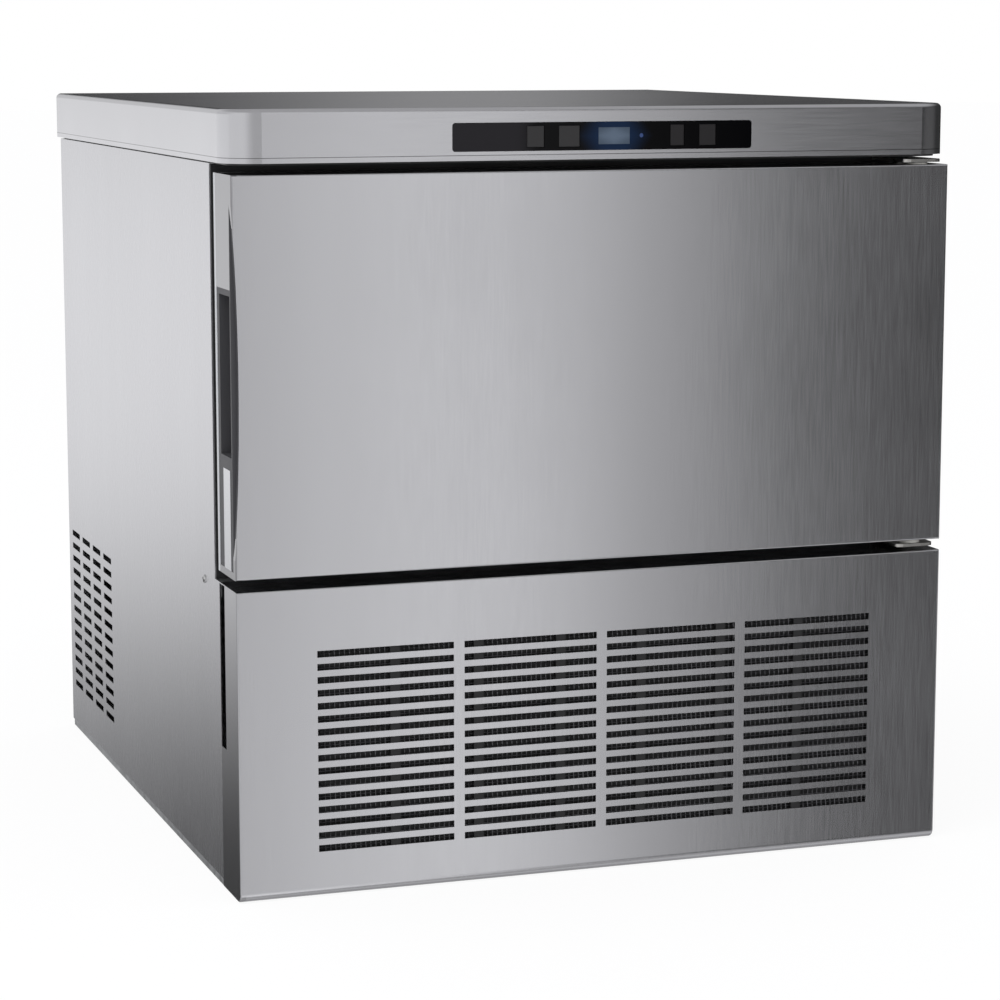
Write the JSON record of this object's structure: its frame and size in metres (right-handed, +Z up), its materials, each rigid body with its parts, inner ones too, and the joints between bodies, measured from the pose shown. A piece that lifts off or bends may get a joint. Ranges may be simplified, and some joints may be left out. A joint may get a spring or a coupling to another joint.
{
  "type": "ice machine",
  "caption": "Undercounter stainless ice machine: hinged insulated door over a storage bin, slotted lower panel, lid with a dark control window.",
  "frame": {"origin": "middle of the footprint, on the surface that the base pan stands on", "axes": "+Z up, the door faces -Y, +X to the right seen from the front"},
  "size_m": [0.74, 0.82, 0.748],
  "materials": {
    "stainless": "satin brushed stainless sheet",
    "galvanised": "plain zinc-coated sheet",
    "zinc_steel": "zinc-plated steel",
    "liner_plastic": "white vacuum-formed plastic",
    "foam": "rigid insulating foam",
    "black_plastic": "black moulded plastic",
    "seal_rubber": "soft black rubber",
    "window_glass": "black gloss window",
    "key_plastic": "dark grey key cap",
    "screen": "pale blue-grey screen",
    "lamp_blue": "blue lamp lens",
    "circuit_board": "green circuit board",
    "nylon": "natural nylon",
    "clear_plastic": "milky flexible plastic",
    "aluminium_fins": "pressed aluminium fins",
    "fan_aluminium": "pressed aluminium blades",
    "black_steel": "black painted steel",
    "copper": "bright copper pipe",
    "tinned_copper": "tinned copper",
    "hose": "grey flexible hose"
  },
  "bodies": {
    "cabinet": {"air_filter": "black_plastic", "base_pan": "galvanised", "bin_drain": "black_plastic", "bin_insulation": "foam", "bin_liner": "liner_plastic", "cable_gland": "black_plastic", "compressor": "black_steel", "compressor_mounts": "seal_rubber", "condenser": "aluminium_fins", "condenser_outlet": "copper", "control_board": "circuit_board", "control_housing": "black_plastic", "discharge_line": "copper", "display_module": "screen", "display_window": "window_glass", "drain_hose": "hose", "drain_spigot": "black_plastic", "evaporator": "tinned_copper", "evaporator_coil": "copper", "fan_motor": "black_steel", "fan_shroud": "black_plastic", "filter_drier": "copper", "front_frame": "black_plastic", "hinge_brackets": "zinc_steel", "ice_chamber": "liner_plastic", "ice_slide": "nylon", "junction_box": "black_plastic", "left_side_panel": "stainless", "leg_sockets": "zinc_steel", "lid_base": "black_plastic", "liquid_line": "copper", "lower_front_panel": "stainless", "machine_deck": "galvanised", "pump_hose": "hose", "rear_panel": "galvanised", "right_side_panel": "stainless", "spray_manifold": "nylon", "status_lamp": "lamp_blue", "suction_line": "copper", "supply_hose": "hose", "top_cover": "stainless", "water_inlet_valve": "nylon", "water_pump": "black_steel", "water_tank": "liner_plastic"},
    "door": {"door_skin": "stainless", "door_liner": "liner_plastic", "door_insulation": "foam", "door_gasket": "seal_rubber", "door_grip_housing": "black_plastic", "door_grip_trim": "stainless", "door_bushes": "nylon"},
    "key_1": {"key_1": "key_plastic"},
    "key_2": {"key_2": "key_plastic"},
    "key_3": {"key_3": "key_plastic"},
    "key_4": {"key_4": "key_plastic"},
    "fan": {"fan_blades": "fan_aluminium"},
    "curtain": {"ice_curtain": "clear_plastic"}
  },
  "joints": [
    {"name": "door_hinge", "type": "hinge", "parent": "cabinet", "child": "door", "pos_m": [0.342, -0.388, 0.4995], "axis": [0, 0, 1], "range_deg": [0, 110]},
    {"name": "key_1_press", "type": "slide", "parent": "cabinet", "child": "key_1", "axis": [0, 1, 0], "range_m": [0, 0.0012], "stiffness_N_per_m": 500, "springref_m": -0.0006},
    {"name": "key_2_press", "type": "slide", "parent": "cabinet", "child": "key_2", "axis": [0, 1, 0], "range_m": [0, 0.0012], "stiffness_N_per_m": 500, "springref_m": -0.0006},
    {"name": "key_3_press", "type": "slide", "parent": "cabinet", "child": "key_3", "axis": [0, 1, 0], "range_m": [0, 0.0012], "stiffness_N_per_m": 500, "springref_m": -0.0006},
    {"name": "key_4_press", "type": "slide", "parent": "cabinet", "child": "key_4", "axis": [0, 1, 0], "range_m": [0, 0.0012], "stiffness_N_per_m": 500, "springref_m": -0.0006},
    {"name": "fan_spin", "type": "hinge", "parent": "cabinet", "child": "fan", "pos_m": [-0.1, -0.23, 0.14], "axis": [0, 1, 0], "continuous": true},
    {"name": "curtain_swing", "type": "hinge", "parent": "cabinet", "child": "curtain", "pos_m": [-0.0375, 0.023, 0.604], "axis": [-1, 0, 0], "range_deg": [0, 75]}
  ]
}
